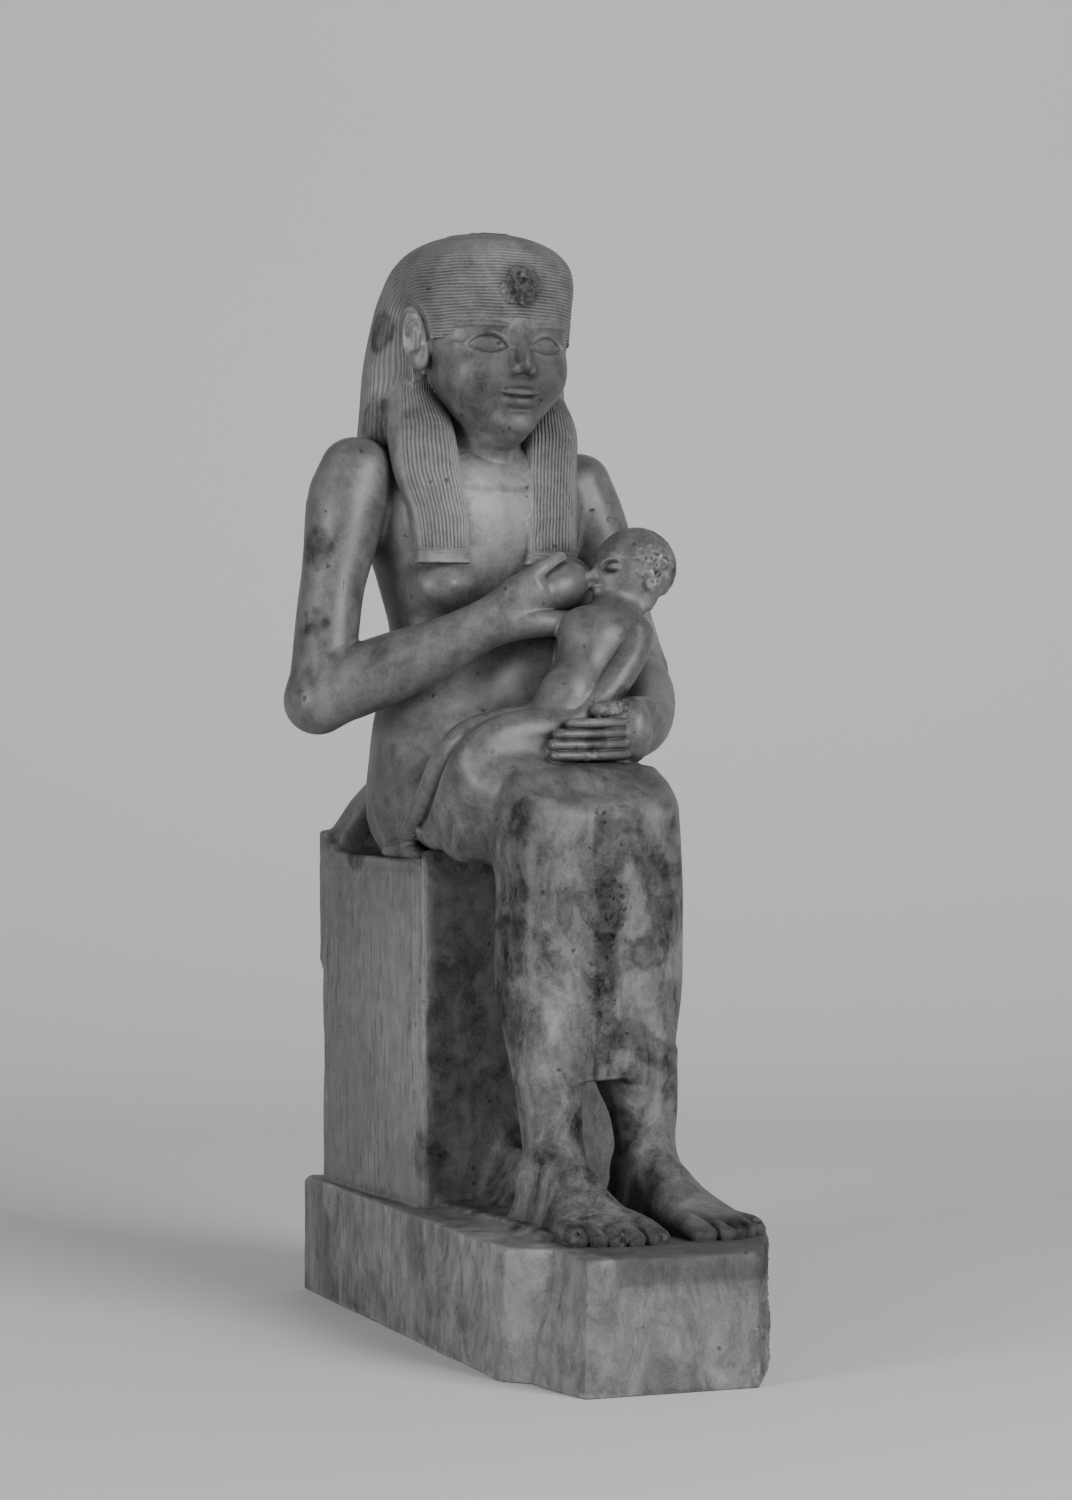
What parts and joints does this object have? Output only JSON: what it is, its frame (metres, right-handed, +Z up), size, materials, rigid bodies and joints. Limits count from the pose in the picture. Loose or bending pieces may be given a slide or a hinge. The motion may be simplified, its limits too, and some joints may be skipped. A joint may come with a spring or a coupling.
{
  "type": "seated mother goddess and child statuette",
  "caption": "Carved stone statuette of a throned goddess in a long striated wig offering her breast to the child across her lap, on a worn plinth.",
  "frame": {"origin": "middle of the plinth's flat underside", "axes": "+Z up, -Y towards the plinth's front end, +X towards the goddess's left hand; the plinth's long sides run along Y"},
  "size_m": [0.1151, 0.1904, 0.3002],
  "materials": {
    "stone": "veined grey stone, worn semi-polish"
  },
  "bodies": {
    "root": {"statuette": "stone"}
  },
  "joints": []
}
